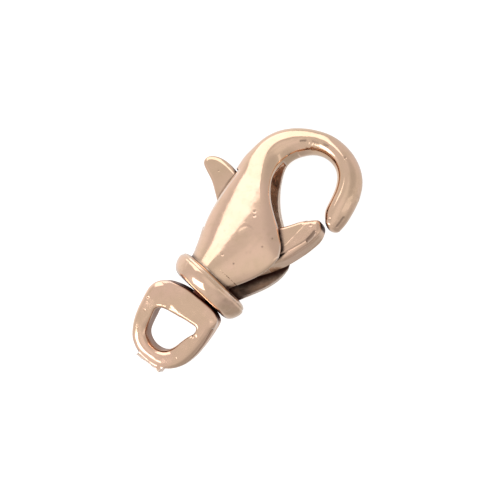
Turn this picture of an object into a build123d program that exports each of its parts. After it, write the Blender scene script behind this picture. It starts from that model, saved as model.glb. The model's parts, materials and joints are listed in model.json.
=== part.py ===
from build123d import *
import os
from math import cos, sin, radians

os.makedirs("parts", exist_ok=True)

# ---------------------------------------------------------------------------
# Swivel lobster clasp, rose-gold plated brass casting, about 22 mm long.
#
# Working frame of the clasp: X runs along the clasp from the swivel loop to the
# hook, Y points to the side of the thumb tab, Z is square to the plane of the
# hook.  The origin is on the swivel axis, at the middle of the collar.
# Every finished piece is then laid down by REST, the attitude in which the clasp
# lies on a table: on the rim of the collar and the back of the hook.
# ---------------------------------------------------------------------------

# --- driving dimensions (mm) ---
collar_x0 = -0.75          # face of the collar towards the loop
collar_x1 = 0.92           # crease between the collar and the body
collar_r = 3.21            # largest radius of the collar
base_r = 2.50              # radius of the body just above the collar
post_r = 0.62              # swivel post
post_bore_r = 0.69         # bore of the collar round the post
head_r = 1.20              # peened head of the post, inside the body
head_t = 0.45
head_x = 0.98              # underside of the head
head_pocket_r = 1.38       # room for the head
head_pocket_x1 = 1.70
slot_half = 1.10           # half width of the slot between the cheeks
mouth_half = 1.28          # half width of the hollow near the cheeks' lower rims
lever_half = 0.95          # half thickness of the lever
lever_edge = 0.22          # softening of its edges
pivot_x, pivot_y = 4.88, -0.20
pin_r = 0.60
lever_bore_r = 0.66
coil_r = 0.88              # mean radius of the torsion spring
wire_d = 0.22
coil_pitch = 0.24
coil_turns = 3 + 30 / 360
coil_start = 220            # angle at which the fixed leg leaves the coil
fixed_leg = 3.40
moving_leg = 2.20
pocket_half = 0.52         # half width of the spring's pocket in the lever
pocket_r = 1.17
loop_half = 1.00           # half thickness of the loop
loop_edge = 0.50           # rounding of the loop's edges

# attitude at rest: turn about X, then about Y, then lift
rest_roll = -2.26
rest_pitch = 8.34
rest_lift = 3.239
rest_shift = (-3.713, -1.328)
REST = Pos(rest_shift[0], rest_shift[1], rest_lift) * Rot(0, rest_pitch, 0) * Rot(rest_roll, 0, 0)

# --- outer form of the body and hook: ellipses square to the clasp's plane ---
# centre x, centre y, half width in the plane, half thickness, heading in degrees
SECTIONS = [
    (0.85, 0.00, 2.50, 2.50, 0),
    (2.30, -0.10, 3.24, 2.47, 0),
    (3.60, -0.08, 3.93, 2.42, 0),
    (5.20, 0.15, 4.28, 2.34, 0),
    (7.00, 1.20, 3.62, 2.12, 0),
    (8.20, 2.12, 2.83, 1.92, 0),
    (9.20, 2.91, 2.22, 1.72, 0),
    (10.10, 3.42, 1.70, 1.54, 0),
    (11.10, 3.60, 1.43, 1.38, -10),
    (12.10, 3.32, 1.26, 1.31, -25),
    (12.95, 2.69, 1.10, 1.26, -40),
    (13.62, 1.86, 0.97, 1.20, -57),
    (14.08, 0.90, 0.90, 1.17, -74),
    (14.21, -0.20, 0.88, 1.16, -93),
    (13.97, -1.40, 0.90, 1.15, -118),
    (13.26, -2.44, 0.97, 1.15, -143),
    (12.20, -3.11, 1.00, 1.14, -159),
    (11.14, -3.43, 0.99, 1.12, -169),
    (10.42, -3.63, 0.94, 1.04, -174),
    (9.90, -3.87, 0.70, 0.84, -178),
    (9.56, -4.00, 0.47, 0.56, -182),
]

# lower rim of the cheeks, their front corner, and the inner wall of the hook's opening
RIM_A = [(0.60, -1.68), (1.20, -1.96), (2.35, -2.54), (3.50, -2.99), (4.45, -3.15), (5.28, -3.10)]
RIM_B = [(5.28, -3.10), (5.98, -2.65), (6.45, -2.00), (6.88, -1.40)]
RIM_C = [(6.88, -1.40), (7.47, -0.32), (8.10, 0.66), (9.00, 1.58), (9.90, 2.15), (11.0, 2.40), (12.1, 2.05)]

# plan of the hollow between the cheeks
HOLLOW = [
    (0.95, -7.0), (0.95, 1.50), (2.80, 1.50), (3.18, 3.00), (3.38, 6.00),
    (8.13, 6.00), (8.13, 3.95), (8.75, 3.15), (10.10, 2.78), (10.90, 2.62),
    (10.90, 0.60), (9.40, -1.20), (8.70, -2.30), (7.20, -7.0),
]

# lever in plan, anticlockwise: underside of the tail and gate arm, end of the arm,
# top of the arm, front of the web, thumb tab, back of the web, tail
LEVER = [
    (2.10, -1.38), (3.00, -1.92), (4.00, -2.52), (5.00, -3.05), (5.75, -3.36), (6.70, -3.63), (7.70, -3.82),
    (8.45, -3.87), (9.02, -3.72), (9.38, -3.42), (9.46, -3.08), (9.18, -2.68), (8.54, -2.18), (7.88, -1.78),
    (7.18, -1.32), (6.66, -0.70), (6.48, 0.20), (6.64, 1.20), (7.12, 2.30), (7.66, 3.40), (7.98, 4.50),
    (8.08, 5.52), (7.96, 6.32), (7.68, 6.90), (7.28, 7.20), (6.86, 7.14), (6.60, 6.74), (6.40, 6.15),
    (6.16, 5.53), (5.79, 4.85), (5.32, 4.05), (4.72, 3.16), (3.85, 2.15), (3.02, 1.32), (2.36, 0.52),
    (1.98, -0.32), (1.92, -0.98),
]

# loop in its own plane: x towards the collar, y to the tab side
LOOP_OUT = [
    (-0.95, 0.00), (-1.03, 0.95), (-1.34, 2.00), (-1.80, 2.86), (-2.38, 3.24), (-3.00, 3.30),
    (-3.80, 3.14), (-5.00, 2.80), (-5.97, 2.32), (-6.78, 1.66), (-7.28, 0.93), (-7.48, 0.12),
    (-7.47, -0.68), (-7.16, -1.48), (-6.46, -2.12), (-5.66, -2.51), (-4.80, -2.73), (-3.80, -2.79),
    (-2.75, -2.72), (-1.85, -2.60), (-1.24, -2.30), (-0.98, -1.72), (-0.93, -0.90),
]
LOOP_IN = [
    (-3.04, 0.10), (-3.26, 1.00), (-3.62, 1.58), (-4.15, 1.66), (-4.90, 1.44), (-5.55, 1.10),
    (-5.90, 0.50), (-5.90, -0.12), (-5.62, -0.75), (-5.06, -1.18), (-4.30, -1.41), (-3.55, -1.44),
    (-3.04, -1.25), (-2.92, -0.70),
]
# the loop sits askew on its post: it droops and is rolled a little
loop_x = Vector(0.96254, -0.05891, 0.26468)
loop_n = Vector(-0.27116, -0.20912, 0.93954)
loop_rise = 0.28            # the bar is level with the post where they join


coil_h = coil_turns * coil_pitch
coil_end = coil_start + 360 * coil_turns
# fixed leg: leaves the bottom of the coil; moving leg: leaves its top
leg_start = Vector(pivot_x + coil_r * cos(radians(coil_start)), pivot_y + coil_r * sin(radians(coil_start)), -coil_h / 2)
leg_dir = Vector(sin(radians(coil_start)), -cos(radians(coil_start)), 0)
arm_start = Vector(pivot_x + coil_r * cos(radians(coil_end)), pivot_y + coil_r * sin(radians(coil_end)), coil_h / 2)
arm_dir = Vector(-sin(radians(coil_end)), cos(radians(coil_end)), 0)


def square_to(cx, cy, heading):
    """plane square to the clasp's plane, facing along the heading"""
    a = radians(heading)
    return Plane(origin=(cx, cy, 0), x_dir=(-sin(a), cos(a), 0), z_dir=(cos(a), sin(a), 0))


# ---------------------------------------------------------------------------
# body: collar, two cheeks and hook in one casting
# ---------------------------------------------------------------------------
with BuildPart() as claw_body:
    for cx, cy, half_w, half_t, heading in SECTIONS:
        with BuildSketch(square_to(cx, cy, heading)):
            Ellipse(half_w, half_t)
    loft()
    # gate side: cheeks trimmed to their rims, opening of the hook
    with BuildSketch(Plane.XY):
        with BuildLine():
            Spline(*RIM_A)
            Spline(*RIM_B)
            Spline(*RIM_C)
            Polyline(RIM_C[-1], (11.6, 0.2), (9.3, -2.3), (8.6, -7.5), (0.6, -7.5), RIM_A[0])
        make_face()
    extrude(amount=4, both=True, mode=Mode.SUBTRACT)
    # slot that holds the lever, through to the back for the thumb tab
    with BuildSketch(Plane.XY):
        with BuildLine():
            Polyline(*HOLLOW, close=True)
        make_face()
    extrude(amount=slot_half, both=True, mode=Mode.SUBTRACT)
    # the hollow widens towards the lower rims of the cheeks
    with BuildSketch(Plane.XY):
        with BuildLine():
            Polyline((0.95, -7.0), (0.95, -0.6), (4.0, -1.6), (5.6, -2.0), (6.4, -1.4), (8.2, -2.6), (7.0, -7.0), close=True)
        make_face()
    extrude(amount=mouth_half, both=True, mode=Mode.SUBTRACT)
    # collar, turned about the swivel axis
    with BuildSketch(Plane.XY):
        with BuildLine():
            Polyline((collar_x0, 2.37), (collar_x0, 0), (collar_x1 + 0.03, 0), (collar_x1 + 0.03, 2.45), (collar_x1, 2.69))
            Spline((collar_x1, 2.69), (0.80, 3.00), (0.55, 3.18), (0.25, collar_r), (-0.10, 3.11), (-0.45, 2.92), (-0.68, 2.65), (collar_x0, 2.37))
        make_face()
    revolve(axis=Axis.X)
    # bore for the swivel post and pocket for its head
    with BuildSketch(Plane.YZ.offset(collar_x0 - 0.2)):
        Circle(post_bore_r)
    extrude(amount=2.2, mode=Mode.SUBTRACT)
    with BuildSketch(Plane.YZ.offset(0.95)):
        Circle(head_pocket_r)
    extrude(amount=head_pocket_x1 - 0.95, mode=Mode.SUBTRACT)
    # rivet hole through both cheeks
    with BuildSketch(Plane.XY.offset(-4)):
        with Locations((pivot_x, pivot_y)):
            Circle(pin_r)
    extrude(amount=8, mode=Mode.SUBTRACT)
    # hole in the back bridge that takes the fixed leg of the spring
    with BuildSketch(Plane(origin=leg_start + leg_dir * 2.6, z_dir=leg_dir)):
        Circle(wire_d / 2 + 0.05)
    extrude(amount=1.0, mode=Mode.SUBTRACT)

# ---------------------------------------------------------------------------
# rivet: plain pin ground flush with the cheeks
# ---------------------------------------------------------------------------
with BuildPart() as pivot_pin:
    for cx, cy, half_w, half_t, heading in SECTIONS[:7]:
        with BuildSketch(square_to(cx, cy, heading)):
            Ellipse(half_w, half_t)
    loft()
    with BuildSketch(Plane.XY.offset(-4)):
        with Locations((pivot_x, pivot_y)):
            Circle(pin_r)
    extrude(amount=8, mode=Mode.INTERSECT)

# ---------------------------------------------------------------------------
# lever: gate arm, hub and thumb tab in one casting
# ---------------------------------------------------------------------------
with BuildPart() as gate_lever:
    with BuildSketch(Plane.XY):
        with BuildLine():
            Spline(*LEVER, periodic=True)
        make_face()
    extrude(amount=lever_half, both=True)
    chamfer(gate_lever.edges().filter_by(GeomType.LINE, reverse=True), lever_edge)
    # bore round the rivet
    with BuildSketch(Plane.XY.offset(-2)):
        with Locations((pivot_x, pivot_y)):
            Circle(lever_bore_r)
    extrude(amount=4, mode=Mode.SUBTRACT)
    # pocket for the coil, open towards the back bridge, and groove for the moving leg
    groove_a = arm_start + arm_dir * 0.2
    groove_b = arm_start + arm_dir * (moving_leg + 0.2)
    with BuildSketch(Plane.XY.offset(-pocket_half)):
        with Locations((pivot_x, pivot_y)):
            Circle(pocket_r)
        Polygon((1.2, -0.70), (4.88, -1.37), (4.88, 0.90), (4.5, 3.6), (1.2, 3.6), align=None)
        Polygon(
            (groove_a.X, groove_a.Y - 0.14), (groove_b.X, groove_b.Y - 0.14),
            (groove_b.X, groove_b.Y + 0.30), (groove_a.X, groove_a.Y + 0.30), align=None,
        )
    extrude(amount=2 * pocket_half, mode=Mode.SUBTRACT)

# ---------------------------------------------------------------------------
# torsion spring: coil round the rivet, one leg in the back bridge, one on the arm
# ---------------------------------------------------------------------------
coil_plane = Plane(
    origin=(pivot_x, pivot_y, -coil_h / 2),
    x_dir=(cos(radians(coil_start)), sin(radians(coil_start)), 0),
    z_dir=(0, 0, 1),
)
with BuildPart() as gate_spring:
    with BuildLine(coil_plane) as coil_path:
        Helix(pitch=coil_pitch, height=coil_h, radius=coil_r)
    with BuildSketch(Plane(origin=coil_path.line @ 0, z_dir=coil_path.line % 0)):
        Circle(wire_d / 2)
    sweep(path=coil_path.line, is_frenet=True)
    with BuildSketch(Plane(origin=leg_start - leg_dir * 0.03, z_dir=leg_dir)):
        Circle(wire_d / 2)
    extrude(amount=fixed_leg)
    with BuildSketch(Plane(origin=arm_start - arm_dir * 0.03, z_dir=arm_dir)):
        Circle(wire_d / 2)
    extrude(amount=moving_leg)

# ---------------------------------------------------------------------------
# swivel loop: D-shaped eye with its post and peened head
# ---------------------------------------------------------------------------
loop_plane = Plane(origin=loop_n * loop_rise + loop_x * 0.02, x_dir=loop_x, z_dir=loop_n)
with BuildPart() as swivel_loop:
    with BuildSketch(loop_plane):
        with BuildLine():
            Spline(*LOOP_OUT, periodic=True)
        make_face()
        with BuildLine(mode=Mode.PRIVATE) as eye:
            Spline(*LOOP_IN, periodic=True)
        make_face(eye.line, mode=Mode.SUBTRACT)
    extrude(amount=loop_half, both=True)
    fillet(swivel_loop.edges().filter_by(GeomType.LINE, reverse=True), loop_edge)
    # post and head on the swivel axis
    with BuildSketch(Plane.YZ.offset(-1.5)):
        Circle(post_r)
    extrude(amount=1.5 + head_x + 0.1)
    with BuildSketch(Plane.YZ.offset(head_x)):
        Circle(head_r)
    extrude(amount=head_t, taper=20)

PIECES = [
    ("claw_body", claw_body),
    ("pivot_pin", pivot_pin),
    ("gate_lever", gate_lever),
    ("gate_spring", gate_spring),
    ("swivel_loop", swivel_loop),
]
for name, piece in PIECES:
    piece.part = piece.part.moved(REST)
    piece.part.label = name
    export_step(piece.part, f"parts/{name}.step")
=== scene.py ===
import bpy
import json
import math
import numpy as np
from mathutils import Matrix, Vector


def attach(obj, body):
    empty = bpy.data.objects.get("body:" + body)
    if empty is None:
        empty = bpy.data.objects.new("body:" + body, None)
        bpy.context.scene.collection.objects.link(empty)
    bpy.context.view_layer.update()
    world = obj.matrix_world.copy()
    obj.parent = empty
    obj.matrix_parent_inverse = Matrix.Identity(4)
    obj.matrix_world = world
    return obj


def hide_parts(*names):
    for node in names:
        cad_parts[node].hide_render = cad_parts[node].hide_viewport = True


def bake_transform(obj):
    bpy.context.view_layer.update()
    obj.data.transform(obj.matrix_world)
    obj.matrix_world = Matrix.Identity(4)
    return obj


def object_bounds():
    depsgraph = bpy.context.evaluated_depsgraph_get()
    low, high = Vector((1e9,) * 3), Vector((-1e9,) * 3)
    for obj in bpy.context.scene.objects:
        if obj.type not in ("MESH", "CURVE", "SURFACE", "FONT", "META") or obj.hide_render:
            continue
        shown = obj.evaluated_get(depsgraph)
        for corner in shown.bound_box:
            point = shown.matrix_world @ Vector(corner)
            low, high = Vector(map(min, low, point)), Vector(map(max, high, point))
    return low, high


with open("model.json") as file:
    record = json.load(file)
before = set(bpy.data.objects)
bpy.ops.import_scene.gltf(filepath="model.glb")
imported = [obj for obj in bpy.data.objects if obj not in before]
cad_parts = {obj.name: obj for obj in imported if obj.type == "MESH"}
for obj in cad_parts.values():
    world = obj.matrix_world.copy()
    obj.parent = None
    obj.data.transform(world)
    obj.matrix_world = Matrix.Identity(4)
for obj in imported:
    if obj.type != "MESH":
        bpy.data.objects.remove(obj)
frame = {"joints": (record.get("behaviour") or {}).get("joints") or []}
cad_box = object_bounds()

# ---------------------------------------------------------------------------
# The clasp's own frame, in mm: X from the swivel to the hook, Y to the thumb
# tab, Z square to the hook.  The joints say where it lies in the row frame.
# ---------------------------------------------------------------------------
JOINTS = {j["name"]: j for j in frame["joints"]}
AX = np.array(JOINTS["swivel"]["axis"], float)
AZ = np.array(JOINTS["gate_pivot"]["axis"], float)
AX /= np.linalg.norm(AX)
AZ -= AX * (AZ @ AX)
AZ /= np.linalg.norm(AZ)
ROT = np.stack([AX, np.cross(AZ, AX), AZ], 1)
ORG = np.array(JOINTS["swivel"]["pos_m"], float) * 1000.0
PIVOT = ROT.T @ (np.array(JOINTS["gate_pivot"]["pos_m"], float) * 1000.0 - ORG)


def to_row(P):
    """clasp frame in mm -> row frame in metres"""
    return (np.asarray(P, float) @ ROT.T + ORG) / 1000.0


# ---------------------------------------------------------------------------
# curves and distance fields
# ---------------------------------------------------------------------------
def spline(points, closed=False, step=0.07):
    """smooth curve through the points, as a dense polyline"""
    P = np.array(points, float)
    Q = np.vstack([P, P[:1]]) if closed else P
    h = np.linalg.norm(np.diff(Q, axis=0), axis=1)
    t = np.concatenate([[0], np.cumsum(h)])
    n = len(Q)
    if closed:
        m = n - 1
        A = np.zeros((m, m))
        B = np.zeros((m, P.shape[1]))
        for i in range(m):
            h0, h1 = h[i - 1], h[i]
            A[i, (i - 1) % m] += h0
            A[i, i] += 2 * (h0 + h1)
            A[i, (i + 1) % m] += h1
            B[i] = 6 * ((Q[i + 1] - Q[i]) / h1 - (Q[i] - P[i - 1]) / h0)
        M = np.linalg.solve(A, B)
        M = np.vstack([M, M[:1]])
    else:
        A = np.eye(n)
        B = np.zeros((n, P.shape[1]))
        for i in range(1, n - 1):
            A[i, i - 1 : i + 2] = [h[i - 1], 2 * (h[i - 1] + h[i]), h[i]]
            B[i] = 6 * ((Q[i + 1] - Q[i]) / h[i] - (Q[i] - Q[i - 1]) / h[i - 1])
        M = np.linalg.solve(A, B)
    s = np.linspace(0, t[-1], max(8, int(t[-1] / step)))
    k = np.clip(np.searchsorted(t, s, side="right") - 1, 0, n - 2)
    hk = h[k][:, None]
    a = (t[k + 1] - s)[:, None] / hk
    b = 1 - a
    R = a * Q[k] + b * Q[k + 1] + ((a**3 - a) * M[k] + (b**3 - b) * M[k + 1]) * hk**2 / 6
    return R[:-1] if closed else R


def signed(poly, X, Y):
    """signed distance of points to a closed polyline, negative inside"""
    A = np.asarray(poly, float)
    Bv = np.roll(A, -1, 0)
    shape = X.shape
    x, y = X.ravel(), Y.ravel()
    out = np.empty(len(x))
    D = Bv - A
    L = (D**2).sum(1) + 1e-18
    for i in range(0, len(x), 20000):
        px = x[i : i + 20000, None]
        py = y[i : i + 20000, None]
        wx, wy = px - A[:, 0], py - A[:, 1]
        t = np.clip((wx * D[:, 0] + wy * D[:, 1]) / L, 0, 1)
        d = np.sqrt(((wx - t * D[:, 0]) ** 2 + (wy - t * D[:, 1]) ** 2).min(1))
        c1 = A[:, 1] <= py
        c2 = Bv[:, 1] <= py
        side = D[:, 0] * wy - D[:, 1] * wx
        wn = ((c1 & ~c2) & (side > 0)).sum(1) - ((~c1 & c2) & (side < 0)).sum(1)
        out[i : i + 20000] = np.where(wn != 0, -d, d)
    return out.reshape(shape)


class Field:
    """values on a plane grid, read with smooth cubic interpolation"""

    def __init__(self, lo, hi, d, f):
        self.lo = np.array(lo, float) - 3 * d
        self.d = d
        nx = int((hi[0] - lo[0]) / d) + 8
        ny = int((hi[1] - lo[1]) / d) + 8
        X, Y = np.meshgrid(self.lo[0] + d * np.arange(nx), self.lo[1] + d * np.arange(ny), indexing="ij")
        v = f(X, Y)
        self.v = list(v) if isinstance(v, (tuple, list)) else [v]
        self.n = (nx, ny)

    def __call__(self, x, y, which=None):
        gx = np.clip((x - self.lo[0]) / self.d, 1, self.n[0] - 3 - 1e-6)
        gy = np.clip((y - self.lo[1]) / self.d, 1, self.n[1] - 3 - 1e-6)
        ix = gx.astype(int)
        iy = gy.astype(int)
        fx = gx - ix
        fy = gy - iy

        def w(f):
            return (
                ((-0.5 * f + 1.0) * f - 0.5) * f,
                (1.5 * f - 2.5) * f * f + 1.0,
                ((-1.5 * f + 2.0) * f + 0.5) * f,
                (0.5 * f - 0.5) * f * f,
            )

        wx, wy = w(fx), w(fy)
        base = (ix - 1) * self.n[1] + (iy - 1)
        res = []
        for v in self.v if which is None else [self.v[which]]:
            flat = v.ravel()
            s = 0
            for a in range(4):
                r = 0
                for b in range(4):
                    r = r + wy[b] * flat[base + a * self.n[1] + b]
                s = s + wx[a] * r
            res.append(s)
        return res[0] if len(res) == 1 else res


def smax(a, b, k):
    h = np.maximum(k - np.abs(a - b), 0) / k
    return np.maximum(a, b) + h * h * h * k / 6


def smin(a, b, k):
    return -smax(-a, -b, k)


def bump(P, c, r):
    """1 at c, falling to 0 at about twice r"""
    d2 = ((P - np.asarray(c, float)) ** 2).sum(-1) / (r * r)
    return np.exp(-d2 * 1.2)


def near_line(P, pts):
    """distance of points to a 3-D polyline, and how far along it they are (0..1)"""
    pts = np.asarray(pts, float)
    best = np.full(P.shape[:-1], 1e9)
    along = np.zeros(P.shape[:-1])
    seg = np.linalg.norm(np.diff(pts, axis=0), axis=1)
    cum = np.concatenate([[0], np.cumsum(seg)])
    for i in range(len(pts) - 1):
        D = pts[i + 1] - pts[i]
        t = np.clip(((P - pts[i]) @ D) / (D @ D), 0, 1)
        d = np.linalg.norm(P - pts[i] - t[..., None] * D, axis=-1)
        m = d < best
        best = np.where(m, d, best)
        along = np.where(m, (cum[i] + t * seg[i]) / cum[-1], along)
    return best, along


def noise3(P, scale, seed=0):
    """smooth value noise in -1..1"""
    Q = P / scale
    i = np.floor(Q).astype(np.int64)
    f = Q - i
    f = f * f * f * (f * (f * 6 - 15) + 10)
    out = 0
    for dx in (0, 1):
        for dy in (0, 1):
            for dz in (0, 1):
                n = (i[..., 0] + dx) * 374761393 + (i[..., 1] + dy) * 668265263 + (i[..., 2] + dz) * 2147483647 + seed * 974634777
                n = (n ^ (n >> 13)) * 1274126177
                n = (n ^ (n >> 16)) & 0xFFFF
                w = (f[..., 0] if dx else 1 - f[..., 0]) * (f[..., 1] if dy else 1 - f[..., 1]) * (f[..., 2] if dz else 1 - f[..., 2])
                out = out + w * (n / 32767.5 - 1)
    return out


# ---------------------------------------------------------------------------
# meshing: the zero surface of a distance function, as a smooth quad mesh
# ---------------------------------------------------------------------------
def gradient(F, P, e=0.012):
    g = np.empty_like(P)
    for a in range(3):
        o = np.zeros(3)
        o[a] = e
        g[:, a] = (F(P + o) - F(P - o)) / (2 * e)
    return g


def surface(F, lo, hi, h, coarse=4, passes=3):
    lo = np.array(lo, float)
    n = np.ceil((np.array(hi, float) - lo) / h).astype(int) + 1
    n = ((n + coarse - 1) // coarse) * coarse + 1
    # coarse pass finds the blocks that the surface can cross
    m = (n - 1) // coarse
    ci = [lo[a] + h * coarse * (np.arange(m[a]) + 0.5) for a in range(3)]
    C = np.stack(np.meshgrid(*ci, indexing="ij"), -1).reshape(-1, 3)
    fc = F(C).reshape(m)
    near = np.abs(fc) < h * coarse * 1.6
    V = np.where(np.repeat(np.repeat(np.repeat(fc, coarse, 0), coarse, 1), coarse, 2) > 0, 1.0, -1.0)
    full = np.ones(n) * 1.0
    full[:-1, :-1, :-1] = V
    need = np.zeros(n, bool)
    nb = np.repeat(np.repeat(np.repeat(near, coarse, 0), coarse, 1), coarse, 2)
    for dx in (0, 1):
        for dy in (0, 1):
            for dz in (0, 1):
                need[dx : n[0] - 1 + dx, dy : n[1] - 1 + dy, dz : n[2] - 1 + dz] |= nb
    idx = np.argwhere(need)
    vals = np.empty(len(idx))
    for i in range(0, len(idx), 200000):
        vals[i : i + 200000] = F(lo + h * idx[i : i + 200000])
    full[need] = vals
    ins = full < 0
    # one vertex in each cell that the surface crosses
    cnt = np.zeros(n - 1, np.int16)
    for dx in (0, 1):
        for dy in (0, 1):
            for dz in (0, 1):
                cnt += ins[dx : n[0] - 1 + dx, dy : n[1] - 1 + dy, dz : n[2] - 1 + dz]
    cells = np.argwhere((cnt > 0) & (cnt < 8))
    cid = -np.ones(n - 1, np.int64)
    cid[tuple(cells.T)] = np.arange(len(cells))
    acc = np.zeros((len(cells), 3))
    num = np.zeros(len(cells))
    for a in range(3):
        b, c = (a + 1) % 3, (a + 2) % 3
        for db in (0, 1):
            for dc in (0, 1):
                o0 = np.zeros(3, int)
                o0[b], o0[c] = db, dc
                o1 = o0.copy()
                o1[a] = 1
                f0 = full[tuple((cells + o0).T)]
                f1 = full[tuple((cells + o1).T)]
                x = (f0 < 0) != (f1 < 0)
                t = np.where(x, f0 / np.where(x, f0 - f1, 1), 0)
                p = o0 + np.zeros((len(cells), 3))
                p[:, a] = t
                acc[x] += p[x]
                num[x] += 1
    P = lo + h * (cells + acc / num[:, None])
    quads = []
    for a in range(3):
        b, c = (a + 1) % 3, (a + 2) % 3
        s0 = [slice(None)] * 3
        s1 = [slice(None)] * 3
        s0[a] = slice(0, -1)
        s1[a] = slice(1, None)
        x = ins[tuple(s0)] != ins[tuple(s1)]
        e = np.argwhere(x)
        ok = (e[:, b] > 0) & (e[:, c] > 0) & (e[:, b] < n[b] - 1) & (e[:, c] < n[c] - 1)
        e = e[ok]
        flip = ins[tuple(s0)][tuple(e.T)]
        q = []
        for db, dc in ((-1, -1), (0, -1), (0, 0), (-1, 0)):
            k = e.copy()
            k[:, b] += db
            k[:, c] += dc
            q.append(cid[tuple(k.T)])
        q = np.stack(q, 1)
        q[~flip] = q[~flip][:, ::-1]
        quads.append(q)
    quads = np.concatenate(quads)
    # settle the vertices on the surface, evening them out along it
    src = np.concatenate([quads[:, i] for i in range(4)])
    dst = np.concatenate([quads[:, (i + 1) % 4] for i in range(4)])
    src, dst = np.concatenate([src, dst]), np.concatenate([dst, src])
    deg = np.bincount(src, minlength=len(P))[:, None]
    for k in range(passes):
        g = gradient(F, P)
        g2 = (g**2).sum(1, keepdims=True)
        f = F(P)[:, None]
        P = P - np.clip(f / np.maximum(g2, 0.15), -0.6 * h, 0.6 * h) * g
        if k < passes - 1:
            avg = np.stack([np.bincount(src, P[dst, a], len(P)) for a in range(3)], 1) / deg
            nrm = g / np.sqrt(np.maximum(g2, 1e-9))
            d = avg - P
            P = P + 0.5 * (d - nrm * (d * nrm).sum(1, keepdims=True))
    g = gradient(F, P)
    nrm = g / np.maximum(np.linalg.norm(g, axis=1, keepdims=True), 1e-9)
    return P, quads, nrm


def mesh_object(name, P, quads, normals=None):
    W = to_row(P)
    me = bpy.data.meshes.new(name)
    k = quads.shape[1]
    me.vertices.add(len(W))
    me.vertices.foreach_set("co", W.astype(np.float32).ravel())
    me.loops.add(quads.size)
    me.loops.foreach_set("vertex_index", quads.astype(np.int32).ravel())
    me.polygons.add(len(quads))
    me.polygons.foreach_set("loop_start", np.arange(0, quads.size, k, dtype=np.int32))
    me.polygons.foreach_set("loop_total", np.full(len(quads), k, np.int32))
    me.polygons.foreach_set("use_smooth", np.ones(len(quads), bool))
    me.update(calc_edges=True)
    me.validate()
    if normals is not None:
        me.normals_split_custom_set_from_vertices((normals @ ROT.T).astype(np.float32))
    ob = bpy.data.objects.new(name, me)
    bpy.context.scene.collection.objects.link(ob)
    return ob


# ---------------------------------------------------------------------------
# claw body
# ---------------------------------------------------------------------------
# centre x, centre y, half width in the plane, half thickness, heading
SECTIONS = np.array([
    (0.85, 0.00, 2.50, 2.50, 0), (2.30, -0.10, 3.24, 2.47, 0), (3.60, -0.08, 3.93, 2.42, 0),
    (5.20, 0.15, 4.28, 2.34, 0), (7.00, 1.20, 3.62, 2.12, 0), (8.20, 2.12, 2.83, 1.92, 0),
    (9.20, 2.91, 2.22, 1.72, 0), (10.10, 3.42, 1.70, 1.54, 0), (11.10, 3.60, 1.43, 1.38, -10),
    (12.10, 3.32, 1.26, 1.31, -25), (12.95, 2.69, 1.10, 1.26, -40), (13.62, 1.86, 0.95, 1.20, -57),
    (14.07, 0.90, 0.88, 1.17, -74), (14.20, -0.20, 0.85, 1.16, -93), (13.96, -1.40, 0.88, 1.15, -117),
    (13.26, -2.44, 0.96, 1.15, -140), (12.20, -3.11, 0.99, 1.14, -155), (11.14, -3.46, 0.97, 1.10, -163),
    (10.42, -3.68, 0.90, 1.01, -166), (9.90, -3.90, 0.70, 0.87, -167),
])
CAP = 0.46
RIM = np.vstack([
    spline([(0.60, -1.68), (1.20, -1.96), (2.35, -2.54), (3.50, -2.99), (4.45, -3.15), (5.28, -3.10)]),
    spline([(5.28, -3.10), (5.98, -2.65), (6.45, -2.00), (6.88, -1.40)])[1:],
    spline([(6.88, -1.40), (7.47, -0.32), (8.10, 0.66), (9.00, 1.58), (9.90, 2.15), (11.0, 2.40), (12.1, 2.05)])[1:],
    [(11.6, 0.2), (9.3, -2.3), (8.6, -7.5), (0.6, -7.5)],
])
HOLLOW = [
    (0.95, -7.0), (0.95, 1.50), (2.80, 1.50), (3.18, 3.00), (3.38, 6.00), (8.13, 6.00), (8.13, 3.95),
    (8.75, 3.15), (10.10, 2.78), (10.90, 2.62), (10.90, 0.60), (9.40, -1.20), (8.70, -2.30), (7.20, -7.0),
]
MOUTH = [(0.95, -7.0), (0.95, -0.6), (4.0, -1.6), (5.6, -2.0), (6.4, -1.4), (8.2, -2.6), (7.0, -7.0)]
COLLAR = np.vstack([
    spline([(0.92, 2.69), (0.80, 3.00), (0.55, 3.18), (0.25, 3.21), (-0.10, 3.11), (-0.45, 2.92), (-0.68, 2.65), (-0.75, 2.37)], step=0.05),
    [(-0.75, -2.37), (0.95, -2.45), (0.95, 2.45)],
])


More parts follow.
